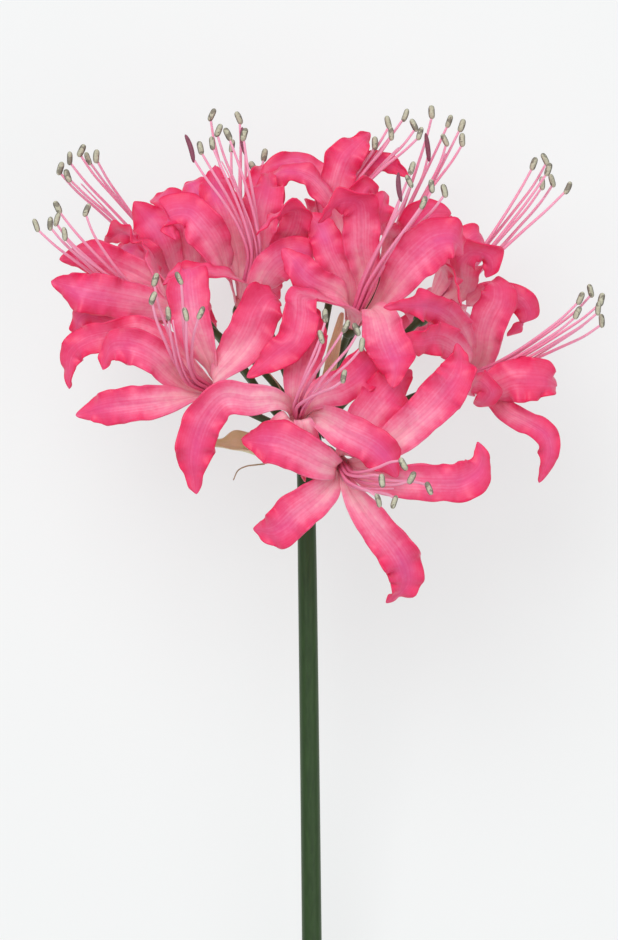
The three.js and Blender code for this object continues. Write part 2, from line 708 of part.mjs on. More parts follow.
// ---------------------------------------------------------------------------------------------------
// Pedicels leave the domed top of the stem side by side and end in the ovary under each flower.
const PEDICEL_START = RECEPTACLE_RADIUS + GAP + 0.2;
const PEDICEL_SIDES = 6;
const SPREAD_ROUNDS = 40;

function pedicelStarts(names) {
  const directions = names.map((name) => V(...FLORETS[name].throat).normalize());
  const apart = (2 * (PEDICEL_RADIUS + GAP)) / PEDICEL_START;
  for (let round = 0; round < SPREAD_ROUNDS; round++) {
    directions.forEach((one, n) => {
      directions.slice(n + 1).forEach((other) => {
        const away = one.clone().sub(other);
        const short = apart - away.length();
        if (short <= 0) return;
        away.normalize().multiplyScalar(0.5 * short);
        one.add(away).normalize();
        other.sub(away).normalize();
      });
    });
  }
  return directions;
}

function pedicelGeometry(floret, start) {
  const { axis } = axesOf(floret);
  const throat = at(floret.throat);
  const from = start.clone().multiplyScalar(PEDICEL_START);
  const below = throat.clone().addScaledVector(axis, -OVARY_LENGTH);
  const reach = from.distanceTo(below);
  const curve = new THREE.CubicBezierCurve3(
    from,
    from.clone().addScaledVector(start, 0.4 * reach),
    below.clone().addScaledVector(axis, -0.3 * reach),
    below,
  );
  const points = curve.getSpacedPoints(6);
  const radii = points.map(() => PEDICEL_RADIUS);
  const ovary = [
    [0.3, 0.85],
    [0.6, 1],
    [0.85, 0.9],
    [1, 0.55],
  ];
  for (const [share, size] of ovary) {
    points.push(below.clone().addScaledVector(axis, OVARY_LENGTH * share));
    radii.push(OVARY_RADIUS * size);
  }
  return tube(points, radii, PEDICEL_SIDES);
}

// ---------------------------------------------------------------------------------------------------
// The stem, its swollen top, and the two spathe valves below it.
const STEM_SIDES = 12;
const STEM_STATIONS = 8;
const STEM_SWAY = 3.2;

function stemGeometry() {
  const points = [];
  const radii = [];
  for (let n = 0; n <= STEM_STATIONS; n++) {
    const share = n / STEM_STATIONS;
    const drop = STEM_LENGTH * (1 - share) + 9 * share;
    points.push(V(STEM_SWAY * Math.sin(1.2 * (1 - share)), -drop, 0));
    radii.push(STEM_RADIUS * (1.08 - 0.1 * share));
  }
  const dome = [
    [-5, 0.82],
    [-1.5, 0.97],
    [2, 0.9],
    [4.4, 0.55],
  ];
  for (const [height, size] of dome) {
    points.push(V(0, height, 0));
    radii.push(RECEPTACLE_RADIUS * size);
  }
  return tube(points, radii, STEM_SIDES, 0, 0.9);
}

// A spathe valve is a dried boat-shaped bract; its section is a shallow trough that folds shut at the tip.
const BRACT_OUTLINE = [0.45, 0.8, 1, 0.95, 0.75, 0.42];
const BRACT_TROUGH = 0.28;

function bractGeometry(path, inward, width, wall) {
  const skin = new Skin();
  const centres = stationsOn(path, [0, 0.16, 0.34, 0.54, 0.74, 0.9, 1]);
  const frames = framesAlong(centres, V(...inward).normalize());
  const rings = BRACT_OUTLINE.map((share, n) => {
    const { normal, side } = frames[n];
    const half = (width * share) / 2;
    const depth = BRACT_TROUGH * half * 2;
    const corner = (offset, drop) =>
      centres[n].clone().addScaledVector(side, offset).addScaledVector(normal, -drop);
    return skin.ring([
      corner(-half, 0),
      corner(-0.55 * half, 0.75 * depth),
      corner(0, depth),
      corner(0.55 * half, 0.75 * depth),
      corner(half, 0),
      corner(0.6 * half, 0.75 * depth + wall),
      corner(0, depth + wall),
      corner(-0.6 * half, 0.75 * depth + wall),
    ]);
  });
  skin.openAcross(rings[0]);
  rings.slice(1).forEach((ring, n) => skin.bridge(rings[n], ring));
  skin.close(rings[rings.length - 1], centres[centres.length - 1]);
  return skin.geometry();
}

// ---------------------------------------------------------------------------------------------------
// Assembly in the growing frame.
const COLOURS = {
  stem: "#4d6b3c",
  spathe: "#b9a97f",
  pedicel: "#3f5a34",
  petal: "#ee5f8c",
  stamen: "#e88fa8",
};

function material(colour, roughness) {
  return new THREE.MeshStandardMaterial({
    color: COLOURS[colour],
    roughness,
    metalness: 0,
    flatShading: true,
    side: THREE.FrontSide,
  });
}

function piece(name, geometry, colour, roughness = 0.6) {
  const mesh = new THREE.Mesh(geometry, material(colour, roughness));
  mesh.name = name;
  return mesh;
}

const flower = new THREE.Group();
flower.add(piece("stem", stemGeometry(), "stem"));
const BRACTS = {
  spathe_left: {
    path: [[-4.5, -8, 3], [-9, -4, 7], [-17, -1, 9], [-24, 0, 9], [-31, -1.5, 7]],
    inward: [0.1, 0.7, 0.7],
    width: SPATHE_WIDTH,
    wall: SPATHE_WALL,
  },
  spathe_right: {
    path: [[4.5, -9, -3], [9, -9, -8], [15, -8, -15], [20, -9, -22], [23, -12, -27]],
    inward: [0.2, 0.9, -0.3],
    width: SPATHE_WIDTH,
    wall: SPATHE_WALL,
  },
  withered_bract: {
    path: [[6, 15, 21], [7.5, 22, 26], [9, 29, 30], [10.5, 36, 32], [12, 42, 32]],
    inward: [-0.2, -0.3, 1],
    width: WITHERED_BRACT_WIDTH,
    wall: WITHERED_BRACT_WALL,
  },
};
for (const [name, bract] of Object.entries(BRACTS)) {
  const foot = V(...bract.path[0]);
  const points = bract.path.map((point) => V(...point).sub(foot).multiplyScalar(UMBEL_SCALE).add(foot));
  const geometry = bractGeometry(points, bract.inward, bract.width, bract.wall);
  flower.add(piece(name, geometry, "spathe", 0.85));
}

const BRACTEOLES = {
  bracteole_left: [[-14, -8, 5], [-18, -8.5, 7], [-22, -9.5, 8], [-24, -13, 7]],
  bracteole_middle: [[-4, 8, 12], [-7, 13, 20], [-9, 18, 25], [-13, 23, 26]],
  bracteole_right: [[6, 5, 8], [7, 7, 15], [8, 8, 22], [13, 7, 27]],
};
for (const [name, path] of Object.entries(BRACTEOLES)) {
  const points = stationsOn(path.map(at), [0, 0.25, 0.5, 0.75, 1]);
  const radii = points.map(() => BRACTEOLE_RADIUS);
  flower.add(piece(name, tube(points, radii, 4, 0, BRACTEOLE_RADIUS), "spathe", 0.85));
}

const names = Object.keys(FLORETS);
const arms = names.flatMap((name) => [...petalArms(name, FLORETS[name]), ...threadArms(name, FLORETS[name])]);
crowd(arms);
const starts = pedicelStarts(names);
names.forEach((name, n) => {
  const floret = FLORETS[name];
  const { axis } = axesOf(floret);
  const throat = at(floret.throat);
  const level = (whorl) => throat.clone().addScaledVector(axis, GAP + WHORL_HALF_HEIGHT + whorl * WHORL_STEP);
  const own = arms.filter((arm) => arm.floret === name);
  const outer = own.filter((arm) => arm.kind === "petal" && arm.whorl === 0);
  const inner = own.filter((arm) => arm.kind === "petal" && arm.whorl === 1);
  const threads = own.filter((arm) => arm.kind !== "petal");
  flower.add(
    piece(`floret_${name}_pedicel`, pedicelGeometry(floret, starts[n]), "pedicel"),
    piece(`floret_${name}_outer_petals`, hubGeometry(outer, growPetal, level(0), axis), "petal"),
    piece(`floret_${name}_inner_petals`, hubGeometry(inner, growPetal, level(1), axis), "petal"),
    piece(`floret_${name}_stamens`, hubGeometry(threads, growThread, level(2), axis), "stamen"),
  );
});

// ---------------------------------------------------------------------------------------------------
// Laying down: lean and roll until the cut end and the lowest petals on both sides lie on one level.
const LAY_ROUNDS = 24;
const HEAD_SIDE = 12;
const HEAD_SPAN = 100;
const LEAN_STEP = 0.8;
const ROLL_STEP = 0.5;

function lay(group) {
  const turn = { lean: 0.15, roll: 0 };
  const points = [];
  group.updateMatrixWorld(true);
  group.traverse((mesh) => {
    if (mesh.isMesh) {
      const position = mesh.geometry.getAttribute("position");
      for (let n = 0; n < position.count; n++) points.push(V().fromBufferAttribute(position, n));
    }
  });
  const end = points.filter((point) => point.y < -STEM_LENGTH + 5);
  const left = points.filter((point) => point.y > 0 && point.x < -HEAD_SIDE);
  const right = points.filter((point) => point.y > 0 && point.x > HEAD_SIDE);
  const rotation = new THREE.Matrix4();
  const lowest = (list) => Math.min(...list.map((point) => point.clone().applyMatrix4(rotation).z));
  for (let round = 0; round < LAY_ROUNDS; round++) {
    rotation.makeRotationFromEuler(new THREE.Euler(turn.lean, turn.roll, 0));
    const [atEnd, atLeft, atRight] = [end, left, right].map(lowest);
    turn.lean += ((atEnd - (atLeft + atRight) / 2) / STEM_LENGTH) * LEAN_STEP;
    turn.roll -= ((atLeft - atRight) / HEAD_SPAN) * ROLL_STEP;
  }
  group.applyMatrix4(rotation);
  const box = new THREE.Box3().setFromPoints(points.map((point) => point.clone().applyMatrix4(rotation)));
  const middle = box.getCenter(V());
  group.position.sub(V(middle.x, middle.y, box.min.z));
}

lay(flower);

export default flower;
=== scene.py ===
"""A cut nerine lying on a pale surface. Metres; +Y runs up the stem, +Z up from the surface."""

import math
import random
from collections import defaultdict, deque

import bmesh
import bpy
from mathutils import Matrix, Vector


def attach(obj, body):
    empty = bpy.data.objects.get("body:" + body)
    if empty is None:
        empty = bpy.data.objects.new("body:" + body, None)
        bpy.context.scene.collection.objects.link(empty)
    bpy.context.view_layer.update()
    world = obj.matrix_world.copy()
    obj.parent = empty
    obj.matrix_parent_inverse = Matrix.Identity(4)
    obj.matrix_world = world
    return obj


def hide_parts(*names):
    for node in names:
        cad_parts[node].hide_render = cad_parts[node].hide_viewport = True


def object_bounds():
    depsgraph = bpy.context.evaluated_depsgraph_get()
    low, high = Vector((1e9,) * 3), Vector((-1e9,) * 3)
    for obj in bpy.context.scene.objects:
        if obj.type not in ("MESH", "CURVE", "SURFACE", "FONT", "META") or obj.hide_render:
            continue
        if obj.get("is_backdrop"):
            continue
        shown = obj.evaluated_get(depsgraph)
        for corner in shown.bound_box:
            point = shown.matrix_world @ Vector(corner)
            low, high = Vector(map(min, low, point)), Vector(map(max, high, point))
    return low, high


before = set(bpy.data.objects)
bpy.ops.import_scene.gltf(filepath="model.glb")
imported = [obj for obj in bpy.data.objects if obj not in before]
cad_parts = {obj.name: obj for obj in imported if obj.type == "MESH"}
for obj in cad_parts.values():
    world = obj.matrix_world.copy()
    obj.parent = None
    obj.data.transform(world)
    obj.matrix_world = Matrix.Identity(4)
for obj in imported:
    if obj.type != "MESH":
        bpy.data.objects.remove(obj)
frame_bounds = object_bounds()

# ---------------------------------------------------------------------------------------------------
# Petals. Each floret has six, in two whorls of three: thin, waxy and watery, narrow and pale at the
# claw, hot pink and crisped into waves along the outer margins, recurved at the tip. They grow from
# the rim of the ovary, the inner three between the outer three.

MM = 0.001
FLORETS = "abcdefghijkm"
SAME_POINT = 0.01 * MM


def shell_of(node):
    """The points of a node's mesh, without doubles, and each point's neighbours."""
    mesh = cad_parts[node].data
    points = []
    index = {}
    number = []
    for vertex in mesh.vertices:
        key = tuple(round(value / SAME_POINT) for value in vertex.co)
        if key not in index:
            index[key] = len(points)
            points.append(vertex.co.copy())
        number.append(index[key])
    neighbours = defaultdict(set)
    for polygon in mesh.polygons:
        corners = [number[v] for v in polygon.vertices]
        for one, other in zip(corners, corners[1:] + corners[:1]):
            if one != other:
                neighbours[one].add(other)
                neighbours[other].add(one)
    return points, neighbours


def steps_from(neighbours, starts):
    """How many edges each point is away from the nearest start."""
    far = {start: 0 for start in starts}
    queue = deque(starts)
    while queue:
        point = queue.popleft()
        for other in sorted(neighbours[point]):
            if other not in far:
                far[other] = far[point] + 1
                queue.append(other)
    return far


def whorl_of(node):
    """The middle of a whorl's hub, and its arms, each as rings of points with the tip last."""
    points, neighbours = shell_of(node)
    hub = sorted(neighbours, key=lambda point: -len(neighbours[point]))[:2]
    far = steps_from(neighbours, hub)
    arm_of = {}
    for first in sorted(far):
        if far[first] < 2 or first in arm_of:
            continue
        queue = deque([first])
        arm_of[first] = first
        while queue:
            point = queue.popleft()
            if far[point] < 2:
                continue
            for other in neighbours[point]:
                if other not in arm_of:
                    arm_of[other] = first
                    queue.append(other)
    arms = []
    for name in sorted(set(arm_of.values())):
        members = sorted(point for point in arm_of if arm_of[point] == name)
        last = max(far[point] for point in members)
        rings = [[points[p] for p in members if far[p] == level] for level in range(1, last + 1)]
        arms.append(rings)
    return (points[hub[0]] + points[hub[1]]) / 2, arms


def ribs_of(rings):
    """A blade's left edge, middle, right edge and inward normal at each ring."""
    ribs = []
    for ring in rings:
        pairs = [(one, other) for n, one in enumerate(ring) for other in ring[n + 1 :]]
        left, right = max(pairs, key=lambda pair: (pair[0] - pair[1]).length)
        centre = (left + right) / 2
        across = (right - left).normalized()
        sides = [point for point in ring if point not in (left, right)]
        sides.sort(key=lambda point: abs((point - centre).dot(across)))
        inner, outer = sorted(sides[:2], key=lambda point: (point - centre).length)
        if ribs and (left - ribs[-1][0]).length > (left - ribs[-1][2]).length:
            left, right = right, left
        ribs.append((left, inner, right, (inner - outer).normalized()))
    return ribs


def spline(values, place):
    """A smooth curve through a list of vectors, at a place counted in list steps."""
    step = min(int(place), len(values) - 2)
    t = place - step
    before = values[max(step - 1, 0)]
    start = values[step]
    end = values[step + 1]
    after = values[min(step + 2, len(values) - 1)]
    leave = (end - before) * 0.5
    arrive = (after - start) * 0.5
    rest = end - start
    square = rest * 3 - leave * 2 - arrive
    cube = leave + arrive - rest * 2
    return start + leave * t + square * t**2 + cube * t**3


def ease(low, high, value):
    t = min(max((value - low) / (high - low), 0), 1)
    return t * t * (3 - 2 * t)


def bump(centre, width, value):
    return math.exp(-(((value - centre) / width) ** 2))


def start_piece():
    bm = bmesh.new()
    bm.verts.layers.float_color.new("flush")
    bm.loops.layers.uv.new("sheet")
    return bm


def add_sheet(bm, rows, columns, place, flush, weld=False):
    """Adds a grid: place(u, v) is each point and flush(u, v) its three masks, u in 0..1, v in -1..1."""
    made = bmesh.ops.create_grid(bm, x_segments=columns, y_segments=rows, size=1)["verts"]
    colour = bm.verts.layers.float_color["flush"]
    uv = bm.loops.layers.uv["sheet"]
    for face in {face for vertex in made for face in vertex.link_faces}:
        for loop in face.loops:
            loop[uv].uv = ((loop.vert.co.x + 1) / 2, (loop.vert.co.y + 1) / 2)
    for vertex in made:
        u = (vertex.co.y + 1) / 2
        v = vertex.co.x
        vertex[colour] = (*flush(u, v), 1)
        vertex.co = place(u, v)
    if weld:
        bmesh.ops.remove_doubles(bm, verts=made, dist=0.001 * MM)


def finish_piece(bm, name, material, node, thickness=0):
    mesh = bpy.data.meshes.new(name)
    bm.to_mesh(mesh)
    bm.free()
    mesh.polygons.foreach_set("use_smooth", [True] * len(mesh.polygons))
    mesh.materials.append(material)
    piece = bpy.data.objects.new(name, mesh)
    bpy.context.scene.collection.objects.link(piece)
    if thickness:
        wall = piece.modifiers.new("wall", "SOLIDIFY")
        wall.thickness = thickness
        wall.offset = -1
    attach(piece, "root")
    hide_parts(node)
    return piece


PETAL_ROWS = 76
PETAL_COLUMNS = 22
PETAL_THICKNESS = 0.45 * MM
FULL_HALF_WIDTH = 5 * MM
WAVE_HEIGHT = 2.0 * MM
WAVE_LENGTH = 8.5 * MM
SCALLOP = 0.35 * MM
GROOVE_DEPTH = 0.35 * MM
SWELL_HEIGHT = 0.35 * MM
CRINKLE_HEIGHT = 0.12 * MM
CLAW_SPREAD = 0.45
TIP_TAPER = 0.28


def add_petal(bm, rings, seed):
    """Adds one petal over a whorl's arm; its masks are how pink, how violet and how near the midrib."""
    ribs = ribs_of(rings[:-1])
    tip = rings[-1][0]
    dice = random.Random(seed)
    middles = [rib[1] for rib in ribs]
    lefts = [rib[0] - rib[1] for rib in ribs]
    rights = [rib[2] - rib[1] for rib in ribs]
    normals = [rib[3] for rib in ribs]
    last = len(ribs) - 1
    length = sum((one - other).length for one, other in zip(middles, middles[1:] + [tip]))
    waves = length / WAVE_LENGTH
    phases = [dice.uniform(0, math.tau) for _ in range(8)]
    tall = dice.uniform(0.7, 1.25) * WAVE_HEIGHT
    rolls = [dice.uniform(-0.8, 2.4) * MM for _ in range(2)]
    shift = dice.uniform(-0.08, 0.08)
    lilac = dice.uniform(0.1, 1.0)

    def wave_of(u, v):
        first = 0 if v < 0 else 3
        slow = math.sin(math.tau * waves * 0.55 * u + phases[first])
        quick = math.sin(math.tau * waves * 1.2 * u + phases[first + 1])
        fine = math.sin(math.tau * waves * 2.3 * u + phases[first + 2])
        amount = ease(0.25, 0.6, u) * (1 - 0.6 * ease(0.9, 1.0, u))
        return amount * (0.9 * slow + 0.55 * quick + 0.12 * fine)

    def place(u, v):
        at = u * (last + 1)
        normal = spline(normals, min(at, last)).normalized()
        middle = spline(middles + [tip], at)
        half = spline(lefts if v < 0 else rights, min(at, last))
        half = half * max(1 - max(at - last, 0) ** 1.2, 0.001) ** 0.85
        half = half * (1 + CLAW_SPREAD * bump(0.26, 0.16, u) - TIP_TAPER * ease(0.74, 0.94, u))
        rise = half.dot(normal)
        across = half - normal * rise
        size = min(across.length / FULL_HALF_WIDTH, 1)
        wave = tall * size * wave_of(u, v) * abs(v) ** 1.8
        groove = -GROOVE_DEPTH * bump(0, 0.12, v) * (1 - u) * size
        curl = -rolls[0 if v < 0 else 1] * ease(0.4, 0.85, u) * abs(v) ** 3 * size
        scallop = SCALLOP * size * wave_of(u, -v) * abs(v) ** 3
        side = across.normalized()
        billow = math.sin(math.tau * waves * 0.5 * u + phases[6]) * math.cos(4 * v + phases[7])
        crinkle = math.sin(math.tau * (waves * 1.4 * u + 0.3 * v * v) + phases[2]) * abs(v)
        swell = SWELL_HEIGHT * billow * size
        swell += CRINKLE_HEIGHT * crinkle * size
        lift = rise * v * v + wave + groove + curl + swell
        return middle + across * abs(v) + side * scallop + normal * lift

    def flush(u, v):
        edge = abs(v) ** 2.2
        pale = bump(0.32, 0.3, abs(v)) * (1 - ease(0.35, 0.8, u))
        pink = 0.08 + 0.58 * ease(0.0, 0.8, u + shift)
        pink += 0.34 * edge * ease(0.08, 0.5, u) - 0.1 * pale
        rib = bump(0, 0.07, v) * (1 - 0.6 * u)
        violet = lilac * bump(0.7, 0.17, u) * bump(0, 0.5, v)
        return min(max(pink, 0), 1), violet, rib

    add_sheet(bm, PETAL_ROWS, PETAL_COLUMNS, place, flush)


def node_tools(material):
    """Short ways to add and join shader nodes in one material."""
    material.use_nodes = True
    tree = material.node_tree
    principled = tree.nodes["Principled BSDF"]

    def add(kind, inputs=(), **settings):
        made = tree.nodes.new(kind)
        for name, value in settings.items():
            setattr(made, name, value)
        for name, value in dict(inputs).items():
            if isinstance(value, bpy.types.NodeSocket):
                tree.links.new(value, made.inputs[name])
            else:
                made.inputs[name].default_value = value
        return made

    def mix(amount, one, other, blend="MIX"):
        made = tree.nodes.new("ShaderNodeMix")
        made.data_type = "RGBA"
        made.blend_type = blend
        inputs = ((made.inputs["Factor"], amount), (made.inputs[6], one), (made.inputs[7], other))
        for socket, value in inputs:
            if isinstance(value, bpy.types.NodeSocket):
                tree.links.new(value, socket)
            else:
                socket.default_value = value
        return made.outputs[2]

    def maths(operation, one, other=0.0):
        return add("ShaderNodeMath", {0: one, 1: other}, operation=operation).outputs[0]

    def join(value, name):
        tree.links.new(value, principled.inputs[name])

    return add, mix, maths, join, principled


def colour(red, green, blue):
    """A screen colour from 0 to 255 as the shader's linear one."""
    values = [value / 255 for value in (red, green, blue)]
    linear = [v / 12.92 if v <= 0.04045 else ((v + 0.055) / 1.055) ** 2.4 for v in values]
    return (*linear, 1)


CLAW_PINK = colour(248, 190, 198)
ROSE_PINK = colour(242, 136, 168)
BLADE_PINK = colour(236, 80, 128)
MARGIN_PINK = colour(232, 34, 92)
MIDRIB_PINK = colour(206, 56, 112)
VIOLET_TINGE = colour(214, 92, 170)


def flush_masks(add):
    """The three masks that add_sheet left on the points of a piece."""
    flush = add("ShaderNodeAttribute", attribute_name="flush").outputs[0]
    return add("ShaderNodeSeparateColor", {0: flush})


def petal_material():
    material = bpy.data.materials.new("petal")
    add, mix, maths, join, principled = node_tools(material)
    masks = flush_masks(add)
    uv = add("ShaderNodeUVMap", uv_map="sheet").outputs[0]
    along = add("ShaderNodeMapping", {0: uv, 3: (20, 1.3, 1)}).outputs[0]
    veins = add("ShaderNodeTexNoise", {"Vector": along, "Scale": 1.0, "Detail": 3.0}).outputs[0]
    place = add("ShaderNodeTexCoord").outputs["Object"]
    clouds = add("ShaderNodeTexNoise", {"Vector": place, "Scale": 130.0, "Detail": 3.0}).outputs[0]
    grains = add("ShaderNodeTexNoise", {"Vector": place, "Scale": 2600.0, "Detail": 1.0}).outputs[0]
    pink = maths("ADD", masks.outputs[0], maths("MULTIPLY", maths("SUBTRACT", clouds, 0.5), 0.35))
    pink = maths("ADD", pink, maths("MULTIPLY", maths("SUBTRACT", veins, 0.5), 0.5))
    mottles = add("ShaderNodeTexNoise", {"Vector": place, "Scale": 620.0, "Detail": 2.0}).outputs[0]
    pink = maths("ADD", pink, maths("MULTIPLY", maths("SUBTRACT", mottles, 0.5), 0.3))
    ramp = add("ShaderNodeValToRGB", {0: pink}).color_ramp
    ramp.elements[0].position = 0.0
    ramp.elements[0].color = CLAW_PINK
    ramp.elements[1].position = 1.0
    ramp.elements[1].color = MARGIN_PINK
    for position, shade in ((0.3, ROSE_PINK), (0.62, BLADE_PINK)):
        ramp.elements.new(position).color = shade
    base = material.node_tree.nodes["Color Ramp"].outputs[0]
    base = mix(maths("MULTIPLY", masks.outputs[2], 0.3), base, MIDRIB_PINK)
    violet = maths("MULTIPLY", masks.outputs[1], maths("MULTIPLY", clouds, 0.75))
    base = mix(violet, base, VIOLET_TINGE)
    join(base, "Base Color")
    height = maths("ADD", maths("MULTIPLY", veins, 0.8), maths("MULTIPLY", grains, 0.35))
    bumped = add("ShaderNodeBump", {"Height": height, "Strength": 0.35, "Distance": 0.25 * MM})
    join(bumped.outputs[0], "Normal")
    principled.inputs["Roughness"].default_value = 0.42
    principled.inputs["Specular IOR Level"].default_value = 0.4
    principled.inputs["Subsurface Weight"].default_value = 0.3
    principled.inputs["Subsurface Radius"].default_value = (1.0, 0.35, 0.45)
    principled.inputs["Subsurface Scale"].default_value = 1.4 * MM
    return material


petal = petal_material()
hubs = {}
for letter in FLORETS:
    for whorl in ("outer", "inner"):
        node = f"floret_{letter}_{whorl}_petals"
        hubs[letter, whorl], arms = whorl_of(node)
        bm = start_piece()
        for number, rings in enumerate(arms):
            add_petal(bm, rings, f"{node} {number}")
        finish_piece(bm, f"{whorl}_petals_{letter}", petal, node, PETAL_THICKNESS)

# ---------------------------------------------------------------------------------------------------
# Stamens and style. Six slender fleshy filaments and one finer style stand out of each floret. An open
# anther is a short grey-green bean of pollen, split along both edges and fixed to the filament by its
# back; one that is still closed is twice as long, smooth and dark purple.


def middle_of(ring):
    return sum(ring, Vector()) / len(ring)


def add_tube(bm, rows, sides, centre, radius, flush, lobes=0.0):
    """Adds a closed tube along centre(u); radius(u) reaches 0 at both ends."""
    step = 1e-3
    frames = []
    normal = Vector((0, 0, 1))
    for row in range(rows + 1):
        u = row / rows
        ahead = centre(min(u + step, 1)) - centre(max(u - step, 0))
        tangent = ahead.normalized()
        if row == 0 and abs(tangent.z) > 0.9:
            normal = Vector((0, 1, 0))
        normal = (normal - tangent * normal.dot(tangent)).normalized()
        frames.append((normal, tangent.cross(normal)))

    def place(u, v):
        first, second = frames[round(u * rows)]
        angle = math.pi * v
        size = radius(u) * (1 + lobes * math.cos(3 * angle))
        return centre(u) + first * (size * math.cos(angle)) + second * (size * math.sin(angle))

    add_sheet(bm, rows, sides, place, flush, weld=True)


FILAMENT_RADIUS = 0.68 * MM
STYLE_RADIUS = 0.42 * MM
ANTHER_RADIUS = 1.0 * MM
CLOSED_ANTHER_RADIUS = 0.85 * MM
CLOSED_ANTHER_SHORTEST = 7 * MM
STYLE_RINGS = 7
ANTHER_RINGS = 4
FILAMENT_ROWS = 44
FILAMENT_SIDES = 8
ANTHER_ROWS = 18
ANTHER_SIDES = 16


def add_filament(bm, path, thick):
    def centre(u):
        return spline(path, u * (len(path) - 1))

    def radius(u):
        return thick * (1 - 0.4 * u) * min(1, (max(u * (1 - u), 0) / 0.004) ** 0.5)

    add_tube(bm, FILAMENT_ROWS, FILAMENT_SIDES, centre, radius, lambda u, v: (u, 0, 0))


def add_anther(bm, start, end, closed, dice):
    reach = end - start
    fat = CLOSED_ANTHER_RADIUS if closed else ANTHER_RADIUS * dice.uniform(0.9, 1.1)
    bow = reach.cross(Vector((0, 0, 1))).normalized() * reach.length * dice.uniform(-0.06, 0.06)

    def centre(u):
        return start + reach * u + bow * (4 * u * (1 - u))

    def radius(u):
        return fat * (1 - abs(2 * u - 1) ** (2.6 if closed else 3.4)) ** 0.5

    def flush(u, v):
        slit = bump(0.38, 0.11, abs(v)) * (1 - abs(2 * u - 1) ** 6)
        return (0, slit, 1) if closed else (0, slit, 0)

    add_tube(bm, ANTHER_ROWS, ANTHER_SIDES, centre, radius, flush)


def filament_material():
    material = bpy.data.materials.new("filament")
    add, mix, maths, join, principled = node_tools(material)
    masks = flush_masks(add)
    place = add("ShaderNodeTexCoord").outputs["Object"]
    clouds = add("ShaderNodeTexNoise", {"Vector": place, "Scale": 200.0, "Detail": 2.0}).outputs[0]
    amount = maths("ADD", masks.outputs[0], maths("MULTIPLY", maths("SUBTRACT", clouds, 0.5), 0.4))
    join(mix(amount, colour(224, 98, 146), colour(244, 168, 196)), "Base Color")
    principled.inputs["Roughness"].default_value = 0.35
    principled.inputs["Subsurface Weight"].default_value = 0.3
    principled.inputs["Subsurface Radius"].default_value = (1.0, 0.4, 0.5)
    principled.inputs["Subsurface Scale"].default_value = 1.0 * MM
    return material


def anther_material():
    material = bpy.data.materials.new("anther")
    add, mix, maths, join, principled = node_tools(material)
    masks = flush_masks(add)
    place = add("ShaderNodeTexCoord").outputs["Object"]
    grains = add("ShaderNodeTexNoise", {"Vector": place, "Scale": 1500.0, "Detail": 3.0}).outputs[0]
    blots = add("ShaderNodeTexNoise", {"Vector": place, "Scale": 420.0, "Detail": 2.0}).outputs[0]
    pollen = mix(grains, colour(222, 220, 196), colour(142, 140, 116))
    pollen = mix(maths("MULTIPLY", masks.outputs[1], 0.95), pollen, colour(52, 36, 44))
    stained = maths("MULTIPLY", maths("GREATER_THAN", blots, 0.56), 0.6)
    pollen = mix(stained, pollen, colour(78, 66, 62))
    purple = mix(grains, colour(156, 84, 106), colour(100, 44, 66))
    join(mix(masks.outputs[2], pollen, purple), "Base Color")
    bumped = add("ShaderNodeBump", {"Height": grains, "Strength": 0.6, "Distance": 0.3 * MM})
    join(bumped.outputs[0], "Normal")
    principled.inputs["Roughness"].default_value = 0.6
    return material


filament = filament_material()
anther = anther_material()
for letter in FLORETS:
    node = f"floret_{letter}_stamens"
    hubs[letter, "stamens"], arms = whorl_of(node)
    threads = start_piece()
    anthers = start_piece()
    for number, rings in enumerate(arms):
        dice = random.Random(f"{node} {number}")
        centres = [middle_of(ring) for ring in rings]
        if len(rings) == STYLE_RINGS:
            add_filament(threads, centres, STYLE_RADIUS)
            continue
        end, point = centres[-ANTHER_RINGS], centres[-1]
        closed = (point - end).length > CLOSED_ANTHER_SHORTEST
        add_filament(threads, centres[:-ANTHER_RINGS] + [end.lerp(point, 0.25)], FILAMENT_RADIUS)
        add_anther(anthers, end, point, closed, dice)
    finish_piece(threads, f"filaments_{letter}", filament, node)
    finish_piece(anthers, f"anthers_{letter}", anther, node)

# ---------------------------------------------------------------------------------------------------
# Pedicels. A dark green stalk carries each floret and swells into the three-lobed green ovary; the
# petals' claws join in a short pale cup on top of it.


def rings_from(node, start):
    """The rings of a tube, level by level from the point that start() chooses."""
    points, neighbours = shell_of(node)
    first = start(points, neighbours)
    far = steps_from(neighbours, [first])
    last = max(far.values())
    return [[points[p] for p in sorted(far) if far[p] == level] for level in range(last + 1)]


def plant_material(name, light, dark, rough, scale, cut=None):
    material = bpy.data.materials.new(name)
    add, mix, maths, join, principled = node_tools(material)
    masks = flush_masks(add)
    place = add("ShaderNodeTexCoord").outputs["Object"]
    stretched = add("ShaderNodeMapping", {0: place, 3: (1, 0.08, 1)}).outputs[0]
    streaks = add("ShaderNodeTexNoise", {"Vector": stretched, "Scale": scale, "Detail": 4.0}).outputs[0]
    base = mix(streaks, light, dark)
    # Painted reflection: a paler grey-green is laid on where the view grazes the surface, standing for the bright
    # surroundings mirrored at the sides, together with a greyer bloom.
    painted_rim_reflection = add("ShaderNodeLayerWeight", {"Blend": 0.35}).outputs["Facing"]
    base = mix(maths("MULTIPLY", maths("POWER", painted_rim_reflection, 2.5), 0.5), base, colour(150, 166, 140))
    if cut:
        base = mix(masks.outputs[0], base, cut)
    join(base, "Base Color")
    bumped = add("ShaderNodeBump", {"Height": streaks, "Strength": 0.25, "Distance": 0.3 * MM})
    join(bumped.outputs[0], "Normal")
    principled.inputs["Roughness"].default_value = rough
    principled.inputs["Specular IOR Level"].default_value = 0.3
    return material


PEDICEL_ROWS = 56
PEDICEL_SIDES = 15
CUP_ROWS = 24
CUP_SIDES = 18
CUP_DROP = 1.0 * MM
CUP_PINK = colour(214, 130, 138)
CUP_PROFILE = ((-1.0, 0.0), (-0.8, 1.7), (0.4, 2.3), (1.6, 2.5), (2.8, 2.5), (3.2, 2.0), (2.8, 0.0))

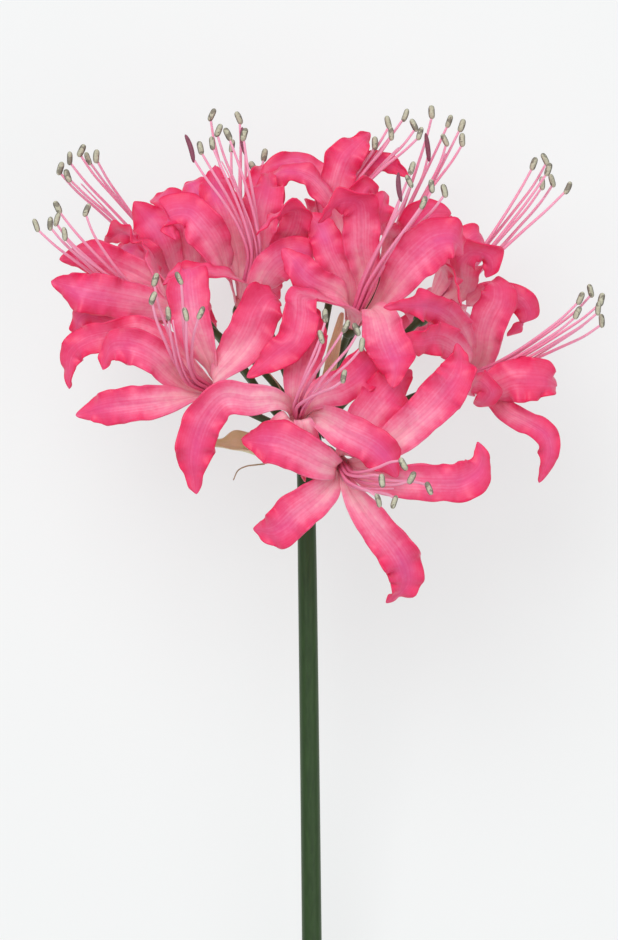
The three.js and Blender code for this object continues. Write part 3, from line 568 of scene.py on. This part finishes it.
stalk = plant_material("pedicel", colour(74, 96, 50), colour(34, 50, 26), 0.45, 500.0, CUP_PINK)


def add_cup(bm, foot, axis):
    """Turns the cup's profile, heights and radii in millimetres, round the floret's axis."""
    profile = [Vector((height, radius, 0)) * MM for height, radius in CUP_PROFILE]

    def centre(u):
        return foot + axis * spline(profile, u * (len(profile) - 1)).x

    side = axis.orthogonal().normalized()
    other = axis.cross(side)

    def place(u, v):
        radius = max(spline(profile, u * (len(profile) - 1)).y, 0) if 0 < u < 1 else 0
        angle = math.pi * v
        return centre(u) + side * (radius * math.cos(angle)) + other * (radius * math.sin(angle))

    add_sheet(bm, CUP_ROWS, CUP_SIDES, place, lambda u, v: (ease(0.1, 0.4, u), 0, 0), weld=True)


for letter in FLORETS:
    node = f"floret_{letter}_pedicel"
    foot = hubs[letter, "outer"]
    axis = (hubs[letter, "stamens"] - foot).normalized()

    def top_of(points, neighbours):
        return min(neighbours, key=lambda p: (points[p] - foot).length)

    rings = rings_from(node, top_of)
    centres = [middle_of(ring) for ring in rings]
    sizes = [Vector(((ring[0] - centre).length, 0, 0)) for ring, centre in zip(rings, centres)]
    bm = start_piece()
    add_tube(
        bm,
        PEDICEL_ROWS,
        PEDICEL_SIDES,
        lambda u: spline(centres, u * (len(centres) - 1)),
        lambda u: max(spline(sizes, u * (len(sizes) - 1)).x, 0) if 0 < u < 1 else 0,
        lambda u, v: (0, 0, 0),
        lobes=0.05,
    )
    add_cup(bm, foot - axis * CUP_DROP, axis)
    finish_piece(bm, f"pedicel_{letter}", stalk, node)

# ---------------------------------------------------------------------------------------------------
# Stem. One smooth leafless scape, solid and juicy, dark green, cut straight across at the foot and
# widened at the top where the pedicels spring. Its sides are painted a paler grey-green where the view
# grazes them: a painted reflection of the bright surroundings, together with a greyer bloom.


def lower_cap(points, neighbours):
    caps = sorted(neighbours, key=lambda p: -len(neighbours[p]))[:2]
    return min(caps, key=lambda p: points[p].y)


STEM_ROWS = 150
STEM_SIDES = 32
CUT_SHARE = 3 / STEM_ROWS
CUT_GREEN = colour(196, 206, 160)

rings = rings_from("stem", lower_cap)[1:]
stem_path = [middle_of(ring) for ring in rings]
stem_sizes = [Vector(((ring[0] - centre).length, 0, 0)) for ring, centre in zip(rings, stem_path)]


def stem_place(u):
    return max(u - CUT_SHARE, 0) / (1 - CUT_SHARE) * (len(stem_path) - 1)


def stem_radius(u):
    across_cut = min(u / CUT_SHARE, 1) ** 0.7
    return max(spline(stem_sizes, stem_place(u)).x, 0) * across_cut if 0 < u < 1 else 0


bm = start_piece()
add_tube(
    bm,
    STEM_ROWS,
    STEM_SIDES,
    lambda u: spline(stem_path, stem_place(u)),
    stem_radius,
    lambda u, v: (1 - ease(CUT_SHARE, 1.5 * CUT_SHARE, u), 0, 0),
)
stem_green = plant_material("stem", colour(54, 82, 40), colour(30, 50, 24), 0.42, 900.0, CUT_GREEN)
finish_piece(bm, "scape", stem_green, "stem")

# ---------------------------------------------------------------------------------------------------
# Bracts. Two spathe valves that once wrapped the bud, now spread and drying from green to straw, one
# withered narrow bract among the pedicels, and three thread-like bracteoles. All are papery.

BRACT_ROWS = 48
BRACT_COLUMNS = 18
BRACT_THICKNESS = 0.3 * MM
BRACT_HALF_WIDTH = 3 * MM
CREASE_HEIGHT = 0.25 * MM
FRAY_HEIGHT = 0.6 * MM
FADED_GREEN = colour(206, 210, 142)
STRAW = colour(255, 240, 212)
RUSTY_VEIN = colour(230, 182, 160)


def add_bract(bm, rings, seed):
    ribs = ribs_of(rings[:-1])
    tip = rings[-1][0]
    dice = random.Random(seed)
    middles = [rib[1] for rib in ribs]
    lefts = [rib[0] - rib[1] for rib in ribs]
    rights = [rib[2] - rib[1] for rib in ribs]
    normals = [rib[3] for rib in ribs]
    last = len(ribs) - 1
    phases = [dice.uniform(0, math.tau) for _ in range(4)]

    def place(u, v):
        at = u * (last + 1)
        normal = spline(normals, min(at, last)).normalized()
        half = spline(lefts if v < 0 else rights, min(at, last))
        half = half * max(1 - max(at - last, 0) ** 1.6, 0.0004) ** 0.5
        rise = half.dot(normal)
        across = half - normal * rise
        size = min(across.length / BRACT_HALF_WIDTH, 1)
        crease = CREASE_HEIGHT * math.sin(9 * v + 5 * u + phases[0]) * size
        edge = FRAY_HEIGHT * abs(v) ** 3 * math.sin(19 * u + phases[1 if v < 0 else 2]) * size
        lift = rise * v * v + crease + edge
        return spline(middles + [tip], at) + across * abs(v) + normal * lift

    add_sheet(bm, BRACT_ROWS, BRACT_COLUMNS, place, lambda u, v: (u, abs(v), 0))


def bract_material():
    material = bpy.data.materials.new("bract")
    add, mix, maths, join, principled = node_tools(material)
    masks = flush_masks(add)
    uv = add("ShaderNodeUVMap", uv_map="sheet").outputs[0]
    along = add("ShaderNodeMapping", {0: uv, 3: (40, 1.5, 1)}).outputs[0]
    veins = add("ShaderNodeTexNoise", {"Vector": along, "Scale": 1.0, "Detail": 4.0}).outputs[0]
    place = add("ShaderNodeTexCoord").outputs["Object"]
    blots = add("ShaderNodeTexNoise", {"Vector": place, "Scale": 160.0, "Detail": 4.0}).outputs[0]
    dry = maths("MULTIPLY", masks.outputs[0], 0.7)
    dry = maths("ADD", dry, maths("MULTIPLY", maths("SUBTRACT", blots, 0.5), 1.4))
    base = mix(dry, FADED_GREEN, STRAW)
    base = mix(maths("MULTIPLY", veins, 0.35), base, RUSTY_VEIN)
    join(base, "Base Color")
    bumped = add("ShaderNodeBump", {"Height": veins, "Strength": 0.7, "Distance": 0.4 * MM})
    join(bumped.outputs[0], "Normal")
    principled.inputs["Roughness"].default_value = 0.62
    principled.inputs["Subsurface Weight"].default_value = 0.2
    principled.inputs["Subsurface Radius"].default_value = (1.0, 0.8, 0.4)
    principled.inputs["Subsurface Scale"].default_value = 1.0 * MM
    return material


def tip_cap(points, neighbours):
    return max(sorted(neighbours), key=lambda p: len(neighbours[p]))


bract = bract_material()
for node in ("spathe_left", "spathe_right", "withered_bract"):
    rings = rings_from(node, tip_cap)
    bm = start_piece()
    add_bract(bm, rings[::-1], node)
    finish_piece(bm, f"{node}_sheet", bract, node, BRACT_THICKNESS)


BRACTEOLE_RADIUS = 0.3 * MM


def thread_material():
    material = bpy.data.materials.new("bracteole")
    add, mix, maths, join, principled = node_tools(material)
    place = add("ShaderNodeTexCoord").outputs["Object"]
    blots = add("ShaderNodeTexNoise", {"Vector": place, "Scale": 300.0, "Detail": 2.0}).outputs[0]
    join(mix(blots, colour(206, 178, 150), colour(150, 128, 96)), "Base Color")
    principled.inputs["Roughness"].default_value = 0.6
    return material


def far_end(points, neighbours):
    return max(sorted(neighbours), key=lambda p: (points[p] - stem_path[-1]).length)


thread = thread_material()
for side in ("left", "middle", "right"):
    centres = [middle_of(ring) for ring in rings_from(f"bracteole_{side}", far_end)]
    bm = start_piece()
    add_filament(bm, centres[::-1], BRACTEOLE_RADIUS)
    finish_piece(bm, f"thread_{side}", thread, f"bracteole_{side}")

# ---------------------------------------------------------------------------------------------------
# Surface, light and camera. The flower lies on a seamless pale sheet that is partly lit from within,
# under two wide soft lights, and the camera looks straight down on the umbel, square to the stem.

VIEW_DISTANCE = 4.0
VIEW_HEIGHT = 313.3 * MM
HEAD_ROLL = math.radians(1.24)
DOME_HEIGHT = 5.3 * MM
AIM_RIGHT = 1 * MM
AIM_DOWN = 10 * MM
SENSOR_HEIGHT = 24
SURFACE_SPAN = 8.0
LIGHT_SIZE = 1.6
KEY_WATTS = 23
FILL_WATTS = 7
SHEET_GLOW = 0.63
SKY_GLOW = 0.5

surface_mesh = bmesh.new()
bmesh.ops.create_grid(surface_mesh, x_segments=1, y_segments=1, size=SURFACE_SPAN / 2)
flat = bpy.data.meshes.new("surface")
surface_mesh.to_mesh(flat)
surface_mesh.free()
paper = bpy.data.materials.new("paper")
paper.use_nodes = True
sheet_look = paper.node_tree.nodes["Principled BSDF"].inputs
sheet_look["Base Color"].default_value = colour(148, 149, 149)
sheet_look["Roughness"].default_value = 0.9
sheet_look["Emission Color"].default_value = colour(246, 248, 248)
sheet_look["Emission Strength"].default_value = SHEET_GLOW
flat.materials.append(paper)
surface = bpy.data.objects.new("surface", flat)
bpy.context.scene.collection.objects.link(surface)
surface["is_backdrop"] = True

stem_way = (stem_path[-1] - stem_path[-4]).normalized()
head = stem_path[-1] - stem_way * DOME_HEIGHT
towards = Vector((math.sin(HEAD_ROLL), 0, math.cos(HEAD_ROLL)))
towards = (towards - stem_way * towards.dot(stem_way)).normalized()
right = stem_way.cross(towards)

camera_data = bpy.data.cameras.new("camera")
camera_data.sensor_fit = "VERTICAL"
camera_data.sensor_height = SENSOR_HEIGHT
camera_data.lens = SENSOR_HEIGHT * VIEW_DISTANCE / VIEW_HEIGHT
camera_data.clip_end = 20
camera = bpy.data.objects.new("camera", camera_data)
bpy.context.scene.collection.objects.link(camera)
aim = head + right * AIM_RIGHT - stem_way * AIM_DOWN
turn = Matrix((right, stem_way, towards)).transposed().to_4x4()
camera.matrix_world = Matrix.Translation(aim + towards * VIEW_DISTANCE) @ turn
bpy.context.scene.camera = camera


def add_light(name, place, size, power, target):
    data = bpy.data.lights.new(name, "AREA")
    data.shape = "DISK"
    data.size = size
    data.energy = power
    light = bpy.data.objects.new(name, data)
    light.location = place
    light.rotation_euler = (Vector(place) - target).to_track_quat("Z", "Y").to_euler()
    bpy.context.scene.collection.objects.link(light)


add_light("key", (-0.5, 0.7, 1.8), LIGHT_SIZE, KEY_WATTS, head)
add_light("fill", (1.1, -0.6, 1.5), LIGHT_SIZE, FILL_WATTS, head)
world = bpy.data.worlds.new("studio")
bpy.context.scene.world = world
world.use_nodes = True
sky = world.node_tree.nodes["Background"].inputs
sky["Color"].default_value = (1, 1, 1, 1)
sky["Strength"].default_value = SKY_GLOW
bpy.context.scene.view_settings.view_transform = "Standard"

sizes = {"frame": [list(corner) for corner in frame_bounds], "visual": [list(corner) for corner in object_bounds()]}
